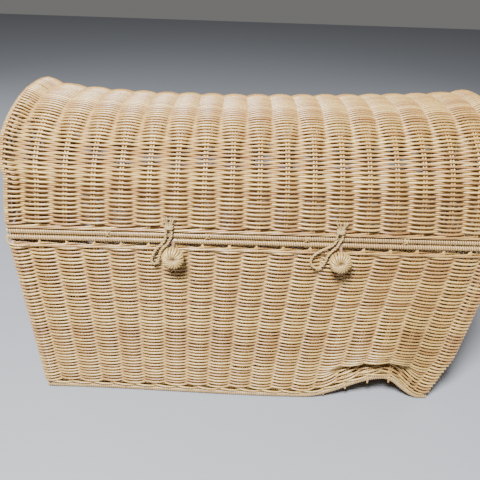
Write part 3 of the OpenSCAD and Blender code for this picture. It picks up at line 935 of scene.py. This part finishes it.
def end_rows(end):
    n = PAIRS[1] + 1
    first, last = lid_start, RISE - 11 * MM
    rows = int((last - first) / PITCH)
    lines = []
    for row in range(rows):
        h = first + (row + 0.5) * (last - first) / rows
        wide = half_depth(h, 6 * MM)
        share = np.arange(-n * 4, n * 4 + 1) / (n * 4)
        y = share * RIM[1]
        y = np.concatenate([[-wide], y[np.abs(y) < wide - 3 * MM], [wide]])
        count = (y / RIM[1] + 1) * n / 2
        out = REACH * np.cos(math.pi * (count + row))
        wave = 0.35 * MM * drift(count, 1.2, 1200 + row)
        lines.append(end_point(end, y, h + wave, out))
    return lines


def end_stake_lines(end):
    n = PAIRS[1] + 1
    lines = []
    for k in range(1, n):
        for edge in (-1, 1):
            y = RIM[1] * (2 * k / n - 1) + edge * APART
            top = (RISE - 6 * MM) * (1 - (abs(y) / (RIM[1] - 6 * MM)) ** ARCH_POWER) ** (1 / ARCH_POWER)
            lines.append(end_point(end, y, np.linspace(RAIL, top, 16), 0.0))
    return lines


for name, end in (("left", -1), ("right", 1)):
    strands(f"lid_{name}_end_weave", end_rows(end), WEAVER, "lid", weave_cane,
            stands_for=[f"lid_{name}_end"])
    strands(f"lid_{name}_end_posts", end_stake_lines(end), STAKE, "lid", stake_cane,
            stands_for=[f"lid_{name}_end_stakes"])

# %% [markdown]
# ## The lid's wale
# Over the lid's rail runs the same three-strand wale. It is straight on all four sides, since
# here the lid is still upright.

# %% Lid wale
LID_WALE_TALL = 2.6 * MM


def lid_wale_lines():
    lines = []
    h = RAIL + BAND / 2
    for side in SIDES:
        n = PAIRS[spans(side)] + 1
        counts = np.linspace(0, n, n * 9 + 1)
        reach_x, reach_y = RIM[0] - LEAN * h, RIM[1]
        half, off = (reach_x, reach_y) if spans(side) == 0 else (reach_y, reach_x)
        turn = side * math.pi / 2
        along = np.array([math.cos(turn), math.sin(turn), 0])
        outward = np.array([math.sin(turn), -math.cos(turn), 0])
        step = 2 * half / n
        to_next = ease(1 - (n - counts) * step / CORNER_TURN)
        to_last = ease(1 - counts * step / CORNER_TURN)
        lean = math.pi / 4 * (to_next - to_last)
        facing = np.cos(lean)[:, None] * outward + np.sin(lean)[:, None] * along
        base = (counts * step - half)[:, None] * along + off * outward + np.array([0, 0, Z_LID + h])
        post = np.exp(-np.minimum(counts, n - counts) * 5)
        for weaver in range(3):
            out, up = wale_turn(((counts + STARTS[side] - weaver) / 3) % 1, 2 / 3)
            points = base + (REACH * out + WALE_CORNER * post)[:, None] * facing
            points[:, 2] += LID_WALE_TALL * up
            lines.append(points)
    return lines


strands("lid_wale_strands", lid_wale_lines(), WALE, "lid", wale_cane, stands_for=["lid_wale"])

# %% [markdown]
# ## Ties on the lid's rail
# Here and there two fine strips cross over the winding and hold it.

# %% Lid rail ties
TIE_STRIP = 1.1 * MM


def tie_lines():
    low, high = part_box("lid_rail_ties")
    wide = 9 * MM
    away = RAIL + 0.3 * MM
    lines = []
    for x in np.linspace(low.x + wide / 2, high.x - wide / 2, 4):
        for hand in (-1, 1):
            angle = np.linspace(-0.2, 1.2, 15) * math.pi
            along = x + hand * wide * (angle / math.pi - 0.5)
            lines.append(np.column_stack([along, -RIM[1] - away * np.sin(angle),
                                          Z_LID + away * np.cos(angle)]))
    return lines


strands("lid_rail_cross_ties", tie_lines(), TIE_STRIP, "lid", fine_cane,
        stands_for=["lid_rail_ties"])

# %% [markdown]
# ## Hinges
# The lid turns on loops of cane wound round both back rails. Each loop is a few turns of one oval.

# %% Hinge loops
def hinge_lines(x):
    low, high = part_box("middle_hinge_loop")
    turns, per_turn = 6, 20
    wide = high.x - low.x - 2 * MM
    drop = Z_LID - Z_RIM
    radius = ROD + 0.8 * MM
    a = np.linspace(0, 2 * math.pi * turns, turns * per_turn + 1)
    y = RIM[1] + radius * np.sin(a)
    z = Z_RIM + drop / 2 + radius * np.cos(a) + np.clip(np.cos(a) * 4, -1, 1) * drop / 2
    return [np.column_stack([x - wide / 2 + wide * a / a[-1], y, z])]


for which, x in zip(("left", "middle", "right"), HINGES):
    strands(f"{which}_hinge_turns", hinge_lines(x), 1.05 * MM, "lid", strap_cane,
            stands_for=[f"{which}_hinge_loop"])

# %% [markdown]
# ## Buttons
# A button is a bun of fine cane wound through its own middle, so the strands fan out from a dimple,
# run over the edge and close again behind. Each strand is one bent line, thin at the dimple and
# full at the edge, and the whole is that line turned about the button's axis. A dark core inside
# gives painted shade: its dark colour stands for the shade in the grooves between the strands.

# %% Buttons
BUTTON_CANE = 2.0 * MM
CORE = 15 * MM
CORE_DEEP = 7.5 * MM


def button_lines(node, seed):
    low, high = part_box(node)
    centre = (low + high) / 2
    radius, thick = (high.x - low.x) / 2, (high.y - low.y) / 2
    source = np.random.default_rng(seed)
    strand = BUTTON_CANE
    count = 21
    a = np.linspace(0.02, math.pi - 0.02, 22)
    away = (radius - strand) * np.sin(a) ** 0.75
    deep = (thick - strand) * np.sign(np.cos(a)) * np.abs(np.cos(a)) ** 0.62
    deep = deep - 6.5 * MM * np.exp(-(away / (4.6 * MM)) ** 2) * np.sign(np.cos(a))
    lines, widths = [], []
    for i in range(count):
        turn = 2 * math.pi * (i + source.uniform(-0.12, 0.12)) / count + 0.5 * (1 - away / radius)
        lift_out = 1 + source.uniform(-0.03, 0.03)
        lines.append(np.column_stack([centre.x + away * lift_out * np.cos(turn), centre.y - deep,
                                      centre.z + away * lift_out * np.sin(turn)]))
        widths.append(np.clip(away / (0.8 * radius), 0.22, 1.1))
    return lines, widths


for which, seed in (("left", 3), ("right", 4)):
    lines, widths = button_lines(f"{which}_button", seed)
    tones = [0.55 + 0.4 * chance.random() for line in lines]
    strands(f"{which}_button_winding", lines, BUTTON_CANE, f"{which}_button", fine_cane,
            tones, widths, stands_for=[f"{which}_button"])
    centre = np.array(middle(f"{which}_button"))
    along = np.linspace(-1, 1, 13)
    core = centre + np.column_stack([0 * along, CORE_DEEP * along, 0 * along])
    # The core's dark rod cane is painted shade for the grooves between the button's strands.
    strands(f"{which}_button_shade_core", [core], CORE, f"{which}_button", groove_shade_rod_cane,
            widths=[np.sqrt(1.02 - along ** 2)], resolution=6)

# %% [markdown]
# ## Closing cords
# Each cord is a two-ply twist that hangs from its knot on the lid and once went over the button.
# The route is the same as in the design. Two helices round that route give the plies.

# %% Cords
LOOP_LEFT = [(-6.5, -17), (-8, -27), (-14, -36), (-21.5, -43.5), (-27, -52), (-31, -62), (-32, -70),
             (-27, -75), (-21.5, -69), (-18.5, -59), (-16, -50), (-11.5, -43), (-4.5, -36), (0, -27),
             (3.5, -17)]
LOOP_RIGHT = [(-6.5, -16), (-7, -23), (-13, -30.5), (-22, -36), (-31.5, -41.5), (-41, -49.5), (-46, -60),
              (-43, -70.5), (-33.5, -75.5), (-25, -69.5), (-20.5, -60), (-17.5, -50), (-10.5, -40),
              (-3.5, -32), (-0.5, -24), (3.5, -16)]


def smooth_line(points, steps=6):
    """A smooth line through given points."""
    p = np.array(points, float)
    p = np.vstack([2 * p[0] - p[1], p, 2 * p[-1] - p[-2]])
    t = np.linspace(0, 1, steps, endpoint=False)[:, None]
    parts = []
    for a, b, c, d in zip(p, p[1:], p[2:], p[3:]):
        bend = (2 * a - 5 * b + 4 * c - d) * t ** 2 + (3 * b - a - 3 * c + d) * t ** 3
        parts.append(0.5 * (2 * b + (c - a) * t + bend))
    return np.vstack(parts + [p[-2:-1]])


def knot_place(which):
    return np.array(middle(f"{which}_loop_knot"))


PLY = 1.25 * MM
PLY_APART = 1.12 * MM
TWIST = 11 * MM


def cord_lines(which, points):
    centre = knot_place(which)
    flat = MM * smooth_line([(points[0][0] + 2, 0)] + list(points) + [(points[-1][0] - 2, 0)])
    line = centre + np.column_stack([flat[:, 0], 0 * flat[:, 0], flat[:, 1]])
    return [wound(line, (0, 1, 0), PLY_APART, turn=TWIST, per_turn=12, start=s) for s in (0, math.pi)]


for which, points in (("left", LOOP_LEFT), ("right", LOOP_RIGHT)):
    strands(f"{which}_closing_cord", cord_lines(which, points), PLY, f"{which}_loop",
            cord_fibre, [0.7, 0.8], resolution=2, stands_for=[f"{which}_closing_loop"])

# %% [markdown]
# ## Knots
# The cord's top is whipped by a few turns and ends in four short frayed tips.

# %% Knots
WHIP = (6.4 * MM, 3.6 * MM)
TIP_LEAN = (-7 * MM, -2.2 * MM, 2.5 * MM, 6.5 * MM)
TIP_LONG = 16 * MM


def knot_lines(which, seed):
    centre = knot_place(which)
    source = np.random.default_rng(seed)
    lines, widths = [], []
    for turn in range(3):
        a = np.linspace(0, 2 * math.pi, 21)
        z = centre[2] - 5 * MM + turn * 2.1 * MM + 0.5 * MM * np.sin(a)
        x, y = centre[0] + WHIP[0] * np.cos(a), centre[1] + WHIP[1] * np.sin(a)
        lines.append(np.column_stack([x, y, z]))
        widths.append(np.ones(21))
    for tip in range(4):
        t = np.linspace(0, 1, 9)
        curl = source.uniform(-1, 1) * MM * np.sin(3 * t)
        x = centre[0] + (tip - 1.5) * 2.2 * MM + TIP_LEAN[tip] * t ** 1.4 + curl
        y = centre[1] - 0.5 * MM - 1.5 * MM * t
        lines.append(np.column_stack([x, y, centre[2] - 2 * MM + TIP_LONG * t]))
        widths.append(1.1 - 0.35 * t)
        for hair in range(3):
            tail = lines[-1 - hair][5:].copy()
            tail[:, 0] += np.linspace(0, source.uniform(-3, 3), 4) * MM
            tail[:, 2] += np.linspace(0, source.uniform(1, 4), 4) * MM
            lines.append(tail)
            widths.append(np.linspace(0.6, 0.2, 4))
    return lines, widths


for which, seed in (("left", 5), ("right", 6)):
    lines, widths = knot_lines(which, seed)
    strands(f"{which}_cord_knot", lines, PLY, "lid", cord_fibre, [0.8] * len(lines), widths,
            stands_for=[f"{which}_loop_knot"])

# %% [markdown]
# ## Finishes of the CAD's own pieces
# Most rods, the button stems and the staples keep their CAD shape, which is right. They only get a
# finish. They carry no strand tone, so their cane takes its colour from noise alone.

# %% CAD finishes
def wire(name):
    material = bpy.data.materials.new(name)
    material.use_nodes = True
    tree = material.node_tree
    shader = tree.nodes["Principled BSDF"]
    shader.inputs["Metallic"].default_value = 1
    shader.inputs["Roughness"].default_value = 0.32
    where = tree.nodes.new("ShaderNodeTexCoord")
    noise = tree.nodes.new("ShaderNodeTexNoise")
    noise.inputs["Scale"].default_value = 900
    ramp = tree.nodes.new("ShaderNodeValToRGB")
    ramp.color_ramp.elements[0].color = (0.45, 0.44, 0.42, 1)
    ramp.color_ramp.elements[1].color = (0.85, 0.85, 0.83, 1)
    link(tree, where.outputs["Object"], noise.inputs["Vector"])
    link(tree, noise.outputs["Fac"], ramp.inputs["Fac"])
    link(tree, ramp.outputs["Color"], shader.inputs["Base Color"])
    return material


staple_wire = wire("staple wire")
for name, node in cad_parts.items():
    if node.hide_render:
        continue
    node.data.materials.clear()
    if name == "rim_staples":
        node.data.materials.append(staple_wire)
    elif "stem" in name:
        node.data.materials.append(strap_cane)
    else:
        # Rails under the winding get the dark rod cane, which shows between the turns as painted shade.
        node.data.materials.append(groove_shade_rod_cane)
    print("kept CAD shape:", name)

# %% [markdown]
# ## Floor and light
# A plain pale floor, a soft light high in front, a weaker one at each side behind, and a pale sky
# that fills the shadows.

# %% Stage
def plain(name, colour, roughness):
    material = bpy.data.materials.new(name)
    material.use_nodes = True
    shader = material.node_tree.nodes["Principled BSDF"]
    shader.inputs["Base Color"].default_value = (*colour, 1)
    shader.inputs["Roughness"].default_value = roughness
    return material


bm = bmesh.new()
bmesh.ops.create_grid(bm, x_segments=1, y_segments=1, size=6)
floor_mesh = bpy.data.meshes.new("floor")
bm.to_mesh(floor_mesh)
bm.free()
floor = bpy.data.objects.new("floor", floor_mesh)
floor.location.z = -0.5 * MM
bpy.context.scene.collection.objects.link(floor)
floor_mesh.materials.append(plain("pale floor", (0.27, 0.285, 0.315), 0.8))

sky = bpy.data.worlds.new("sky")
sky.use_nodes = True
sky.node_tree.nodes["Background"].inputs["Color"].default_value = (1.0, 0.99, 0.97, 1)
sky.node_tree.nodes["Background"].inputs["Strength"].default_value = 0.17
bpy.context.scene.world = sky


def soft_light(name, at, look, size, power):
    light = bpy.data.lights.new(name, "AREA")
    light.shape = "DISK"
    light.size = size
    light.energy = power
    holder = bpy.data.objects.new(name, light)
    holder.location = at
    holder.rotation_euler = (Vector(look) - Vector(at)).to_track_quat("-Z", "Y").to_euler()
    bpy.context.scene.collection.objects.link(holder)
    return holder


soft_light("key", (-0.5, -1.6, 2.4), (0, 0, 0.25), 0.7, 290)
for hand, x in (("left", -2.4), ("right", 2.4)):
    soft_light(f"{hand} side", (x, 1.2, 0.8), (0, 0, 0.3), 1.2, 26)
